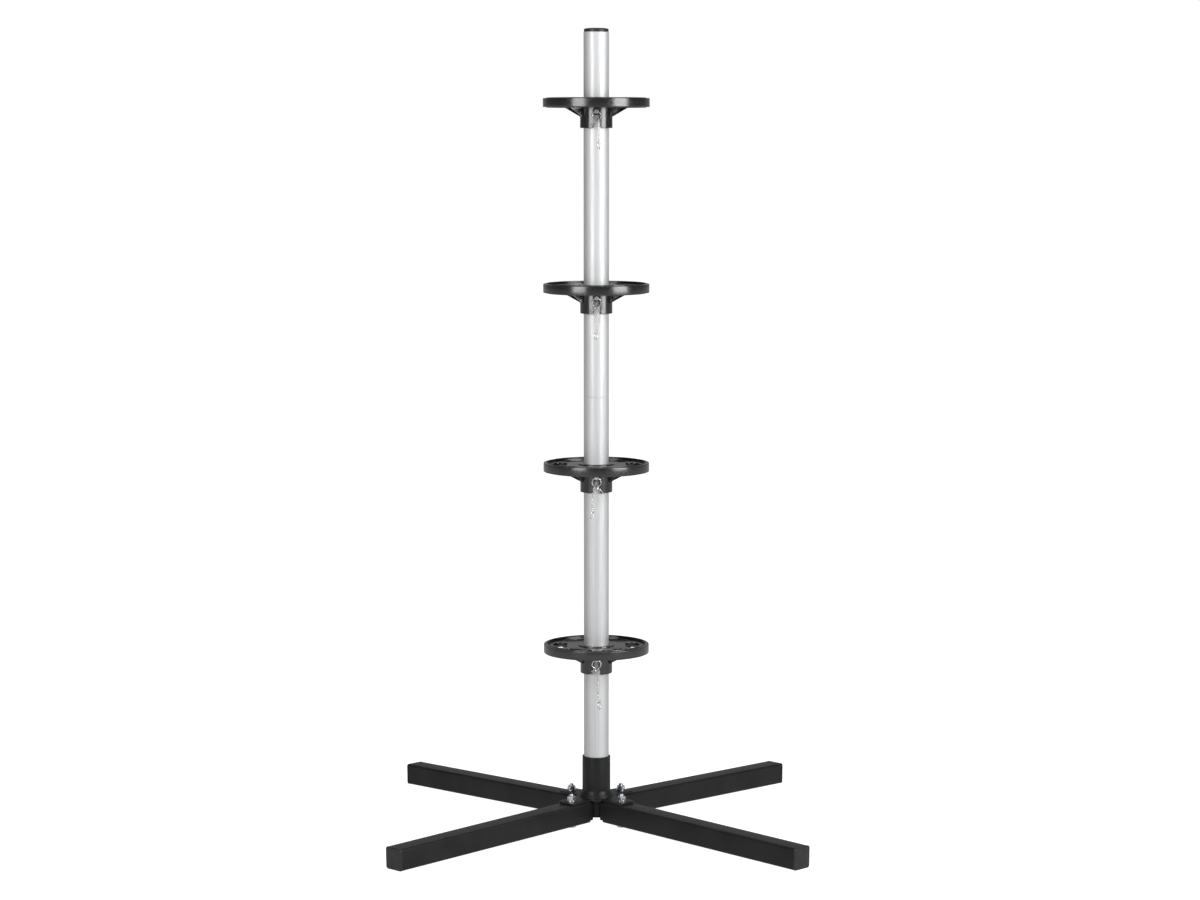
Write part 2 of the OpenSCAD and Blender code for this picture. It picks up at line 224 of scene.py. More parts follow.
def roughen(tree, shader, source, height, after=None):
    """Raises the surface by up to this many millimetres with the noise, on top of an earlier bump."""
    bump = tree.nodes.new("ShaderNodeBump")
    bump.inputs["Strength"].default_value = 1.0
    bump.inputs["Distance"].default_value = height * MM
    tree.links.new(source, bump.inputs["Height"])
    if after:
        tree.links.new(after, bump.inputs["Normal"])
    tree.links.new(bump.outputs["Normal"], shader.inputs["Normal"])
    return bump.outputs["Normal"]


def powder_coat():
    """Baked black powder on steel: an orange peel a millimetre across with a finer grain on it."""
    material, tree, shader, space = new_finish("black_powder_coat", (0.011, 0.011, 0.012), 0.0, 0.5)
    shader.inputs["Specular IOR Level"].default_value = 0.20
    patches = speckle(tree, space, 34, detail=2)
    tint(tree, patches, (0.009, 0.009, 0.010), (0.014, 0.014, 0.015), shader.inputs["Base Color"])
    vary(tree, speckle(tree, space, 2.2), 0.32, 0.46, shader.inputs["Roughness"])
    peel = roughen(tree, shader, speckle(tree, space, 1.3, detail=2), 0.035)
    roughen(tree, shader, speckle(tree, space, 0.35, detail=1), 0.008, after=peel)
    return material


def grid_faces(rows, columns, ring_rows=False, ring_columns=False):
    """Quads of a grid: face (i, j) takes rows i and i + 1 and columns j and j + 1, wrapping round a ring."""
    i, j = np.meshgrid(
        np.arange(rows if ring_rows else rows - 1),
        np.arange(columns if ring_columns else columns - 1), indexing="ij")
    up, along = (i + 1) % rows, (j + 1) % columns
    corners = [i * columns + j, up * columns + j, up * columns + along, i * columns + along]
    return np.stack(corners, -1).reshape(-1, 4)


def skin(points, ring_rows=False, ring_columns=False, smooth=True):
    """A patch of surface through a grid of points (row, column, xyz)."""
    rows, columns = points.shape[:2]
    return points.reshape(-1, 3), grid_faces(rows, columns, ring_rows, ring_columns).tolist(), smooth


def make_piece(name, patches, material, body, slot, *nodes, sharp=35):
    """Joins patches into one mesh in metres, welds their shared edges, and turns every face outwards."""
    counts = np.cumsum([0] + [len(points) for points, _, _ in patches])
    faces = [[k + first for k in face] for (_, fs, _), first in zip(patches, counts) for face in fs]
    mesh = bpy.data.meshes.new(name)
    mesh.from_pydata(np.concatenate([points for points, _, _ in patches]) * MM, [], faces)
    mesh.polygons.foreach_set("use_smooth", [smooth for _, fs, smooth in patches for _ in fs])
    shape = bmesh.new()
    shape.from_mesh(mesh)
    bmesh.ops.remove_doubles(shape, verts=shape.verts, dist=0.002 * MM)
    bmesh.ops.recalc_face_normals(shape, faces=shape.faces)
    shape.to_mesh(mesh)
    shape.free()
    mesh.set_sharp_from_angle(angle=math.radians(sharp))
    mesh.materials.append(material)
    piece = bpy.data.objects.new(name, mesh)
    scene.collection.objects.link(piece)
    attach(piece, body)
    if nodes:
        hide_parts(*nodes)
    return piece


def rounded_outline(corners, steps=5):
    """Closed outline with each corner (a, b, radius) an arc that touches both sides.
    The centre lies radius / sin(half) along the corner's bisector, and the arc's points turn evenly
    from one side's touching point to the other's."""
    corners = np.array(corners, float)
    spots, radii = corners[:, :2], corners[:, 2:]
    back, ahead = np.roll(spots, 1, 0) - spots, np.roll(spots, -1, 0) - spots
    back /= np.linalg.norm(back, axis=1, keepdims=True)
    ahead /= np.linalg.norm(ahead, axis=1, keepdims=True)
    half = np.arccos(np.clip((back * ahead).sum(1, keepdims=True), -1, 1)) / 2
    bisector = (back + ahead) / np.linalg.norm(back + ahead, axis=1, keepdims=True)
    centre = spots + bisector * radii / np.sin(half)
    first, last = (spots + side * radii / np.tan(half) - centre for side in (back, ahead))
    share = np.linspace(0, 1, steps + 1)[None, :, None]
    span = (np.pi - 2 * half)[:, :, None]
    arcs = (np.sin((1 - share) * span) * first[:, None] + np.sin(share * span) * last[:, None]) / np.sin(span)
    return (centre[:, None] + arcs).reshape(-1, 2)


def square_ring(width, corner, steps=5):
    """Rounded square of this width, centred."""
    h = width / 2
    return rounded_outline([(h, -h, corner), (h, h, corner), (-h, h, corner), (-h, -h, corner)], steps)


def along_leg(i, points):
    """From a leg's own frame, X out along its middle line, to its place: tipped on its foot, then turned."""
    x, y, z = points[..., 0] - LEG_REACH, points[..., 1], points[..., 2]
    out = x * math.cos(LEG_SLOPE) + z * math.sin(LEG_SLOPE) + LEG_REACH
    up = z * math.cos(LEG_SLOPE) - x * math.sin(LEG_SLOPE) + LEG_WIDTH / 2
    turn = math.radians(45 + 90 * i)
    return np.stack(
        [out * math.cos(turn) - y * math.sin(turn), out * math.sin(turn) + y * math.cos(turn), up], -1)


def along_bar(stations):
    """Rounded squares (place, width, corner) set along X: the rows of a skin."""
    rings = [np.column_stack([np.full(len(ring), place), ring])
             for place, ring in ((place, square_ring(width, corner)) for place, width, corner in stations)]
    return np.stack(rings)


def square_tube(start, end, width, corner, wall, edge=0.35):
    """Square tube with its sawn ends broken by a small edge: outside, end, inside and back, as one ring."""
    bore, bore_corner = width - 2 * wall, max(corner - wall, 0.6)
    return along_bar([
        (start + edge, width, corner), (end - edge, width, corner), (end, width - 2 * edge, corner - edge),
        (end, bore, bore_corner), (start, bore, bore_corner), (start, width - 2 * edge, corner - edge)])


black_steel = powder_coat()
for i, corner in enumerate(CORNERS):
    tube = square_tube(LEG_START, LEG_REACH - CAP_LIP, LEG_WIDTH, LEG_CORNER, LEG_WALL)
    make_piece(f"leg_tube_{corner}", [skin(along_leg(i, tube), ring_rows=True, ring_columns=True)],
               black_steel, "base", "black_steel", f"leg_{corner}")

# ---------- leg end caps ----------
# Moulded black plastic plugs driven into the open ends. The lip covers the sawn edge, its face is
# slightly pillowed, and its underside is worn flat to the floor.
CAP_WIDTH = 28.4
CAP_PLUG_WIDTH = 24.6
CAP_PLUG_WALL = 1.8
CAP_PLUG_DEPTH = 14.0


def satin_plastic():
    """Injection-moulded black plastic with a fine spark-eroded grain and faint flow marks."""
    material, tree, shader, space = new_finish("black_satin_plastic", (0.014, 0.014, 0.014), 0.0, 0.42)
    shader.inputs["Specular IOR Level"].default_value = 0.4
    tint(tree, speckle(tree, space, 9, detail=2), (0.011, 0.011, 0.011), (0.018, 0.018, 0.018),
         shader.inputs["Base Color"])
    vary(tree, speckle(tree, space, 1.5), 0.36, 0.52, shader.inputs["Roughness"])
    roughen(tree, shader, speckle(tree, space, 0.3, detail=1), 0.01)
    return material


cap_plastic = satin_plastic()
cap_bore = CAP_PLUG_WIDTH - 2 * CAP_PLUG_WALL
cap_back = LEG_REACH - CAP_LIP
plug_end = cap_back - CAP_PLUG_DEPTH
for i, corner in enumerate(CORNERS):
    cap = along_bar([
        (cap_back, 0.001, 0.0003), (cap_back, cap_bore, 0.5), (plug_end, cap_bore, 0.5),
        (plug_end, CAP_PLUG_WIDTH - 1.2, 1.2), (plug_end + 1.5, CAP_PLUG_WIDTH, 1.5),
        (cap_back, CAP_PLUG_WIDTH, 1.5), (cap_back, CAP_WIDTH, LEG_CORNER),
        (LEG_REACH - 1.4, CAP_WIDTH, LEG_CORNER), (LEG_REACH - 0.9, CAP_WIDTH - 0.3, LEG_CORNER),
        (LEG_REACH - 0.45, CAP_WIDTH - 1.1, LEG_CORNER), (LEG_REACH - 0.25, CAP_WIDTH - 2.6, 3.2),
        (LEG_REACH - 0.1, 0.6 * CAP_WIDTH, 3.5), (LEG_REACH, 0.3 * CAP_WIDTH, 2.5),
        (LEG_REACH, 0.001, 0.0003)])
    cap = along_leg(i, cap)
    cap[..., 2] = np.maximum(cap[..., 2], 0)
    make_piece(f"end_cap_{corner}", [skin(cap, ring_columns=True)],
               cap_plastic, "base", "cap_plastic", f"leg_cap_{corner}")

# ---------- socket and its floor ----------
# A short steel tube that the pole drops into, closed by a disc near the floor that carries the pole.
# Both are coated with the rest of the base.
TURNS = 96
SOCKET_WALL = 1.7


def box_mm(node):
    """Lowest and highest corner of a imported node, in millimetres."""
    return tuple(np.array(corner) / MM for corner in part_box(node))


def lathe(profile, steps=TURNS, ring=True):
    """Turns a profile (radius, height) round Z: the point at angle a is (r sin a, -r cos a, height)."""
    a = np.linspace(-np.pi / 2, 3 * np.pi / 2, steps, endpoint=False)
    profile = np.array(profile, float)
    radius, height = profile[:, :1], profile[:, 1:]
    points = np.stack([radius * np.sin(a), -radius * np.cos(a), height + 0 * a], -1)
    return skin(points, ring_rows=ring, ring_columns=True)


def ring_section(inner, outer, low, high, edge):
    """Section of a ring with its four edges rounded."""
    return rounded_outline(
        [(inner, low, edge), (outer, low, edge), (outer, high, edge), (inner, high, edge)], 4)


socket_low, socket_high = box_mm("socket_tube")
SOCKET_R = (socket_high[0] - socket_low[0]) / 2
SOCKET_BORE = SOCKET_R - SOCKET_WALL
make_piece("socket", [lathe(ring_section(SOCKET_BORE, SOCKET_R, socket_low[2], socket_high[2], 0.5))],
           black_steel, "base", "black_steel", "socket_tube")

disc_low, disc_high = box_mm("socket_floor")
disc_edge = rounded_outline([
    (0.001, disc_low[2], 0.0003), (SOCKET_BORE, disc_low[2], 0.5),
    (SOCKET_BORE, disc_high[2], 0.5), (0.001, disc_high[2], 0.0003)], 3)
make_piece("socket_disc", [lathe(disc_edge)], black_steel, "base", "black_steel", "socket_floor")

# ---------- spider plate ----------
# A pressed steel plate with a round middle and four ears, one on top of each leg. Its middle is drawn up
# into a cone that is welded round the socket, and a rough bead runs round its lower edge between the ears.
PLATE_THICKNESS = 3.0
EAR_END = 58.0
EAR_CORNER = 5.0
EAR_ROOT = 21.9
EAR_ROOT_CURVE = 3
HUB_R = 26.0
HUB_SWELL = 1.035
HUB_CURVE = 14
NECK_R = 23.0
NECK_HEIGHT = 9.0
LEG_BOLT_REACH = 46.0
BOLT_HOLE_R = 3.3
PRESS_EDGE = 0.5
PRESS_ROUND = 0.15
BEND_HALF = 13
NECK_SINK = 1.5
BEAD_INSET = 0.7
BEAD_LIFT = 0.4
BEAD_SIZE = 1.15
BEAD_RIPPLES = 30
BEAD_HALF_TURN = 19


def within(points, loop):
    """Which points lie inside a closed loop: a line to their right crosses it an odd number of times."""
    a, b = loop, np.roll(loop, -1, 0)
    x, y = points[:, :1], points[:, 1:]
    spans = (a[:, 1] > y) != (b[:, 1] > y)
    rise = np.where(b[:, 1] == a[:, 1], 1.0, b[:, 1] - a[:, 1])
    crossing = a[:, 0] + (y - a[:, 1]) * (b[:, 0] - a[:, 0]) / rise
    return (spans & (x < crossing)).sum(1) % 2 == 1


def flat_sheet(outline, holes=(), inside=np.zeros((0, 2))):
    """Flat sheet with holes: triangles between the outline, the holes and any inside points."""
    loops = [outline, *holes]
    starts = np.cumsum([0] + [len(loop) for loop in loops])
    edges = [(first + k, first + (k + 1) % len(loop))
             for first, loop in zip(starts, loops) for k in range(len(loop))]
    points = np.concatenate([*loops, inside])
    made, _, faces, *_ = delaunay_2d_cdt(points.tolist(), edges, [], 1, 1e-5, False)
    made, faces = np.array([tuple(p) for p in made]), np.array([tuple(f) for f in faces])
    middles = made[faces].mean(1)
    keep = within(middles, outline)
    for hole in holes:
        keep &= ~within(middles, hole)
    return made, faces[keep].tolist()


def inset(outline, distance):
    """Closed outline moved sideways by this distance, at right angles to the line between its neighbours."""
    along = np.roll(outline, -1, 0) - np.roll(outline, 1, 0)
    along /= np.linalg.norm(along, axis=1, keepdims=True)
    return outline + distance * np.column_stack([-along[:, 1], along[:, 0]])


def circle(x, y, radius, steps=32):
    """Points of a circle, even in angle."""
    a = np.linspace(0, 2 * np.pi, steps, endpoint=False)
    return np.column_stack([x + radius * np.cos(a), y + radius * np.sin(a)])


def turned(points, degrees):
    """Points (x, y) turned about the origin."""
    c, s = math.cos(math.radians(degrees)), math.sin(math.radians(degrees))
    return points @ np.array([[c, s], [-s, c]])


def spider_height(points, offset):
    """Height of the plate over (x, y): level in the middle, falling along each ear with its leg."""
    diagonal = np.abs(points @ np.array([[1, 1], [1, -1]]).T / math.sqrt(2)).max(1)
    level = (LEG_REACH - LEG_START) * math.sin(LEG_SLOPE) + LEG_WIDTH
    return level - np.maximum(diagonal - LEG_START, 0) * math.tan(LEG_SLOPE) + offset


def on_plate(points, offset):
    """Points (x, y) laid on the plate at this height above its underside."""
    return np.column_stack([points, spider_height(points, offset)])


quarter = np.array([
    (EAR_ROOT, -LEG_WIDTH / 2, EAR_ROOT_CURVE), (EAR_END, -LEG_WIDTH / 2, EAR_CORNER),
    (EAR_END, LEG_WIDTH / 2, EAR_CORNER), (EAR_ROOT, LEG_WIDTH / 2, EAR_ROOT_CURVE),
    (HUB_R * HUB_SWELL / math.sqrt(2), HUB_R * HUB_SWELL / math.sqrt(2), HUB_CURVE)])
outline_corners = np.concatenate([
    np.column_stack([turned(quarter[:, :2], 45 + 90 * i), quarter[:, 2]]) for i in range(4)])
spider_outline = rounded_outline(outline_corners, 6)
bolt_holes = [
    circle(*turned(np.array([[LEG_BOLT_REACH, 0]]), 45 + 90 * i)[0], BOLT_HOLE_R) for i in range(4)]
socket_hole = circle(0, 0, SOCKET_R - 0.3, TURNS)
bend_marks = np.concatenate([
    turned(np.column_stack([np.full(7, LEG_START), np.linspace(-BEND_HALF, BEND_HALF, 7)]), 45 + 90 * i)
    for i in range(4)])

spider_patches = []
for offset in (0, PLATE_THICKNESS):
    sheet, triangles = flat_sheet(inset(spider_outline, PRESS_EDGE), [socket_hole, *bolt_holes], bend_marks)
    spider_patches.append((on_plate(sheet, offset), triangles, False))
edge_rows = [(PRESS_EDGE, 0), (PRESS_ROUND, PRESS_ROUND), (0, PRESS_EDGE),
             (0, PLATE_THICKNESS - PRESS_EDGE), (PRESS_ROUND, PLATE_THICKNESS - PRESS_ROUND),
             (PRESS_EDGE, PLATE_THICKNESS)]
rim = np.stack([on_plate(inset(spider_outline, inward), up) for inward, up in edge_rows])
spider_patches.append(skin(rim, ring_columns=True))
for hole in [socket_hole, *bolt_holes]:
    wall = np.stack([on_plate(hole, up) for up in (0, PLATE_THICKNESS)])
    spider_patches.append(skin(wall, ring_columns=True))

# The neck narrows fast as it leaves the plate and ends close to the socket, like the bell of a trumpet.
hub_top = spider_height(np.zeros((1, 2)), PLATE_THICKNESS)[0]
climb = np.linspace(0, 1, 9)
flare = np.column_stack([
    SOCKET_R + 0.05 + (NECK_R - SOCKET_R) * (1 - np.sin(climb * np.pi / 2)) ** 0.85,
    hub_top + NECK_HEIGHT * climb])
neck = np.concatenate([[(SOCKET_R - 0.2, hub_top - NECK_SINK), (NECK_R + 0.4, hub_top - NECK_SINK)], flare,
                       [(SOCKET_R - 0.2, hub_top + NECK_HEIGHT)]])
spider_patches.append(lathe(neck))
make_piece("spider", spider_patches, black_steel, "base", "black_steel", "spider_plate")


def weld_bead(radius, height, size, ripples, start, end):
    """A rope of weld round Z: its thickness swells size * (1 + 0.22 sin(ripples a)) from puddle to puddle,
    and it closes to a point at both ends."""
    a = np.radians(np.linspace(start, end, 80))[:, None]
    share = np.linspace(0, 1, 80)[:, None]
    thick = size * (1 + 0.22 * np.sin(ripples * a)) * np.clip(12 * np.minimum(share, 1 - share), 0, 1) ** 0.5
    wander = radius + 0.35 * np.sin(ripples * 0.37 * a + 1.0)
    up = height + 0.4 * np.sin(ripples * 0.29 * a)
    b = np.linspace(0, 2 * np.pi, 12, endpoint=False)[None]
    across = wander + thick * np.cos(b)
    return skin(np.stack([across * np.cos(a), across * np.sin(a), up + thick * np.sin(b)], -1),
                ring_columns=True)


beads = [weld_bead(HUB_R - BEAD_INSET, hub_top - PLATE_THICKNESS + BEAD_LIFT, BEAD_SIZE, BEAD_RIPPLES,
                   middle - BEAD_HALF_TURN, middle + BEAD_HALF_TURN) for middle in (0, 90, 180, 270)]
make_piece("hub_welds", beads, black_steel, "base", "black_steel", sharp=60)

# ---------- stub arms ----------
# Four short square tubes welded to the socket; each leg slides over one and its bolt runs through both.
STUB_WIDTH = 24.4
STUB_WALL = 2.0
STUB_END = 76.0
stubs = [skin(along_leg(i, square_tube(SOCKET_R - 0.2, STUB_END, STUB_WIDTH, 2.0, STUB_WALL)),
              ring_rows=True, ring_columns=True) for i in range(4)]
make_piece("stubs", stubs, black_steel, "base", "black_steel", "stub_arms")

# ---------- leg bolts, washers and nuts ----------
# Zinc-plated M6 fasteners: each bolt comes up from under its leg through the arm and the ear, and its nut
# sits on a washer on top of the ear with two threads showing.
BOLT_R = 3.0
THREAD_PITCH = 1.0
THREAD_DEPTH = 0.5
THREAD_TURNS = 14
HEX_ACROSS = 10.0
HEAD_HEIGHT = 4.0
WASHER_R = 6.0
WASHER_THICKNESS = 1.2
NUT_HEIGHT = 5.0
STAND_OUT = 2.8
THREAD_OVERLAP = 1.0


def zinc_plate():
    """Bright zinc on steel: a bluish grey with cloudy patches and fine handling marks."""
    material, tree, shader, space = new_finish("zinc_plate", (0.72, 0.74, 0.77), 1.0, 0.25)
    tint(tree, speckle(tree, space, 4), (0.60, 0.62, 0.65), (0.82, 0.84, 0.86), shader.inputs["Base Color"])
    vary(tree, speckle(tree, space, 0.9), 0.18, 0.36, shader.inputs["Roughness"])
    roughen(tree, shader, speckle(tree, space, 0.5, (1, 1, 3)), 0.006)
    return material


def hexagon(across, steps=12):
    """Outline of a hexagon, with the same number of points on each side."""
    a = np.linspace(0, 2 * np.pi, 6 * steps, endpoint=False)
    reach = across / 2 / np.cos((a % (np.pi / 3)) - np.pi / 6)
    return np.column_stack([reach * np.cos(a), reach * np.sin(a)])


def hex_solid(low, high, bore):
    """Hexagon from low to high with its corners turned off at 30 degrees at both ends, round a bore.
    Near an end the reach is the lesser of the hexagon's and the cone's."""
    shape = hexagon(HEX_ACROSS)
    reach = np.linalg.norm(shape, axis=1, keepdims=True)
    levels = np.array([0, 0.25, 0.5, 0.75])
    cone = HEX_ACROSS / 2 * 0.96 + levels / math.tan(math.radians(30))
    ends = np.concatenate([low + levels, high - levels[::-1]])
    cones = np.concatenate([cone, cone[::-1]])
    outside = [np.column_stack([shape / reach * np.minimum(reach, c), np.full(len(shape), z)])
               for z, c in zip(ends, cones)]
    hole = shape / reach * bore
    bore_rows = [np.column_stack([hole, np.full(len(hole), z)]) for z in (high, low)]
    return np.stack([*outside, *bore_rows])


def thread(low, high):
    """Screwed end of a bolt: the radius dips by the thread's depth once a pitch along a helix,
    and the dips fade out at both ends. The last millimetre tapers."""
    z = np.linspace(low, high, THREAD_TURNS * 8)[:, None]
    a = np.linspace(0, 2 * np.pi, 32, endpoint=False)[None]
    phase = (z / THREAD_PITCH - a / (2 * np.pi)) % 1
    fade = np.clip(np.minimum(z - low, high - z) / THREAD_PITCH, 0, 1)
    radius = BOLT_R - THREAD_DEPTH * fade * np.abs(2 * phase - 1) - 0.5 * np.clip(1 - (high - z), 0, 1)
    shank = np.stack([radius * np.cos(a), radius * np.sin(a), z + 0 * a], -1)
    tip = np.concatenate([0.001 * shank[-1:, :, :2], shank[-1:, :, 2:]], -1)
    foot = np.concatenate([0.001 * shank[:1, :, :2], shank[:1, :, 2:]], -1)
    return np.concatenate([foot, shank, tip])


def at_bolt(i, points):
    """From a bolt's own frame, Z up from the top face of the leg, to its place."""
    return along_leg(i, points + np.array([LEG_BOLT_REACH, 0, LEG_WIDTH / 2]))


zinc = zinc_plate()
nut_low = PLATE_THICKNESS + WASHER_THICKNESS
thread_end = nut_low + NUT_HEIGHT + STAND_OUT
thread_start = thread_end - THREAD_TURNS * THREAD_PITCH
plain_end = thread_start + THREAD_OVERLAP
bolt_patches = []
for i in range(4):
    head = hex_solid(-LEG_WIDTH - HEAD_HEIGHT, -LEG_WIDTH, BOLT_R - 0.4)
    shank_low = -LEG_WIDTH - HEAD_HEIGHT / 2
    grip = thread(thread_start, thread_end)
    plain = np.array([(0.001, shank_low), (BOLT_R, shank_low), (BOLT_R, plain_end), (0.001, plain_end)])
    points, faces, smooth = lathe(plain, 32)
    closed_head = np.array([(0.001, shank_low - 1.8), (BOLT_R, shank_low - 1.8), (BOLT_R, shank_low),
                            (0.001, shank_low)])
    cap_points, cap_faces, _ = lathe(closed_head, 32)
    bolt_patches += [skin(at_bolt(i, head), ring_rows=True, ring_columns=True),
                     skin(at_bolt(i, grip), ring_columns=True),
                     (at_bolt(i, points), faces, smooth), (at_bolt(i, cap_points), cap_faces, smooth)]
make_piece("bolts", bolt_patches, zinc, "base", "zinc_steel", "leg_bolts")

washer = ring_section(BOLT_HOLE_R, WASHER_R, PLATE_THICKNESS, PLATE_THICKNESS + WASHER_THICKNESS, 0.25)
washer_points, washer_faces, _ = lathe(washer, 48)
make_piece("washers", [(at_bolt(i, washer_points), washer_faces, True) for i in range(4)],
           zinc, "base", "zinc_steel", "leg_washers")

nut = hex_solid(nut_low, nut_low + NUT_HEIGHT, BOLT_R - 0.1)
make_piece("nuts", [skin(at_bolt(i, nut), ring_rows=True, ring_columns=True) for i in range(4)],
           zinc, "base", "zinc_steel", "leg_nuts")

# ---------- pole ----------
# Two lengths of drawn aluminium tube, satin anodised, butted together over an inner sleeve. Each has a
# drilled hole from front to back for each of its two pins; the lower one has two rivet holes at the back.
POLE_WALL = 1.5
PIN_HOLE_R = 3.2
RIVET_R = 2.0
RIVET_DROPS = (16.0, 40.0)
SAWN_EDGE = 0.4
BACK = np.pi


def satin_aluminium():
    """Drawn tube: fine lengthwise die lines over broad soft streaks, and a light anodised haze."""
    material, tree, shader, space = new_finish("satin_aluminium", (0.60, 0.605, 0.61), 1.0, 0.7)
    shader.inputs["Coat Weight"].default_value = 0.75
    shader.inputs["Coat Roughness"].default_value = 0.22
    shader.inputs["Coat IOR"].default_value = 1.6
    streaks = speckle(tree, space, 1.6, (1, 1, 0.012), detail=4)
    lines = speckle(tree, space, 0.45, (1, 1, 0.006), detail=2)
    tint(tree, streaks, (0.57, 0.575, 0.58), (0.63, 0.634, 0.64), shader.inputs["Base Color"])
    vary(tree, speckle(tree, space, 2.4, (1, 1, 0.05)), 0.64, 0.76, shader.inputs["Roughness"])
    drawn = roughen(tree, shader, lines, 0.006)
    roughen(tree, shader, speckle(tree, space, 11, (1, 1, 0.3), detail=1), 0.02, after=drawn)
    return material


def drilled_tube(radius, low, high, holes, turns=TURNS):
    """Wall of a tube, flat as (arc length, height) and pierced by round holes (angle, height, radius).
    A hole's edge is at angle + asin(r cos t / radius), height + r sin t. Rows of points lie closer
    together round a hole."""
    start, step = -np.pi / 2, 2 * np.pi / turns
    around = (start + step * np.arange(turns + 1)) * radius
    loops = []
    for angle, height, r in holes:
        t = np.linspace(0, 2 * np.pi, 28, endpoint=False)
        edge = radius * (angle + np.arcsin(r * np.cos(t) / radius))
        loops.append(np.column_stack([edge, height + r * np.sin(t)]))
    rows = np.unique(np.round(np.concatenate(
        [[low, high]] + [height + np.linspace(-2.4, 2.4, 9) * r for _, height, r in holes]), 6))
    rows = rows[(rows == low) | (rows == high) | ((rows > low + 0.5) & (rows < high - 0.5))]
    inner_rows = rows[1:-1]
    inside = np.stack(np.meshgrid(around[1:-1], inner_rows), -1).reshape(-1, 2)
    for angle, height, r in holes:
        away = np.hypot(inside[:, 0] - radius * angle, inside[:, 1] - height)
        inside = inside[away > r * 1.18]
    side = np.column_stack([np.full(len(inner_rows), around[-1]), inner_rows])
    outline = np.concatenate([
        np.column_stack([around, np.full(turns + 1, low)]), side,
        np.column_stack([around[::-1], np.full(turns + 1, high)]), side[::-1] * [-1, 1]
        + [around[0] + around[-1], 0]])
    return flat_sheet(outline, loops, inside), loops


def wrapped(points, radius):
    """Rolls (arc length, height) into a tube: angle = arc / radius, and angle 0 faces the front."""
    angle = points[:, 0] / radius
    return np.column_stack([radius * np.sin(angle), -radius * np.cos(angle), points[:, 1]])


def pole_tube(low, high, holes, outer, inner):
    """Outside, inside, the walls of the holes and the broken edges of the two sawn ends."""
    (out_points, out_faces), out_loops = drilled_tube(outer, low + SAWN_EDGE, high - SAWN_EDGE, holes)
    (in_points, in_faces), in_loops = drilled_tube(inner, low, high, holes)
    patches = [(wrapped(out_points, outer), out_faces, True), (wrapped(in_points, inner), in_faces, True)]
    for out_loop, in_loop in zip(out_loops, in_loops):
        patches.append(skin(np.stack([wrapped(out_loop, outer), wrapped(in_loop, inner)]), ring_columns=True))
    for end, into in ((low, 1), (high, -1)):
        sawn = [(outer, end + into * SAWN_EDGE), (outer - SAWN_EDGE, end), (inner, end)]
        patches.append(lathe(sawn, ring=False))
    return patches


aluminium = satin_aluminium()
pin_heights = {k: (box_mm(f"pin_{k}")[0][2] + box_mm(f"pin_{k}")[1][2]) / 2 for k in (1, 2, 3, 4)}
for name, stations in (("pole_lower", (1, 2)), ("pole_upper", (3, 4))):
    low, high = box_mm(name)
    pole_r = (high[0] - low[0]) / 2
    holes = [(angle, pin_heights[k], PIN_HOLE_R) for k in stations for angle in (0, BACK)]
    if name == "pole_lower":
        holes += [(BACK, high[2] - rivet, RIVET_R) for rivet in RIVET_DROPS]
        joint_z = high[2]
    make_piece(name.replace("pole_", "tube_"), pole_tube(low[2], high[2], holes, pole_r, pole_r - POLE_WALL),
               aluminium, name, "pole_aluminium", name)

# ---------- joining sleeve and rivets ----------
# A turned aluminium sleeve inside the joint, held in the lower section by two flush rivets at the back.
SLEEVE_WALL = 1.5
sleeve_low, sleeve_high = box_mm("joining_sleeve")
sleeve_r = (sleeve_high[0] - sleeve_low[0]) / 2
sleeve = ring_section(sleeve_r - SLEEVE_WALL, sleeve_r, sleeve_low[2], sleeve_high[2], 0.5)
make_piece("sleeve", [lathe(sleeve)], aluminium, "pole_lower", "pole_aluminium", "joining_sleeve")

rivet_low, rivet_high = box_mm("sleeve_rivets")
rivet_length = rivet_high[1] - rivet_low[1]
rivet_profile = np.array([(0.001, 0), (RIVET_R, 0), (RIVET_R, -0.3 + rivet_length),
                          (RIVET_R - 0.3, rivet_length), (0.6, 0.1 + rivet_length), (0.001, rivet_length)])
rivets = []
for rivet in RIVET_DROPS:
    points, faces, smooth = lathe(rivet_profile, 32)
    points = np.column_stack([points[:, 0], rivet_low[1] + points[:, 2], joint_z - rivet + points[:, 1]])
    rivets.append((points, faces, smooth))
make_piece("rivets", rivets, aluminium, "pole_lower", "pole_aluminium", "sleeve_rivets")

# ---------- pole cap ----------
# A moulded black plug pushed into the top of the pole, with a low dome over its lip.
cap_low, cap_high = box_mm("pole_cap")
cap_r = (cap_high[0] - cap_low[0]) / 2
POLE_CAP_PLUG_R = 14.8
cap_lip = cap_high[2] - 5.0
dome = np.linspace(0, np.pi / 2, 9)
dome_rows = np.column_stack([cap_r * np.cos(dome) ** 0.45, cap_lip + 3.0 + 2.0 * np.sin(dome)])
dome_rows[-1, 0] = 0.001
cap_profile = np.concatenate([
    [(0.001, cap_high[2] - 3.0), (POLE_CAP_PLUG_R - 2, cap_high[2] - 3.0), (POLE_CAP_PLUG_R - 2, cap_low[2]),
     (POLE_CAP_PLUG_R - 0.7, cap_low[2]), (POLE_CAP_PLUG_R, cap_low[2] + 1), (POLE_CAP_PLUG_R, cap_lip),
     (cap_r - 0.2, cap_lip), (cap_r, cap_lip + 0.2)], dome_rows])
make_piece("cap", [lathe(cap_profile, ring=False)], cap_plastic, "pole_cap", "cap_plastic", "pole_cap")

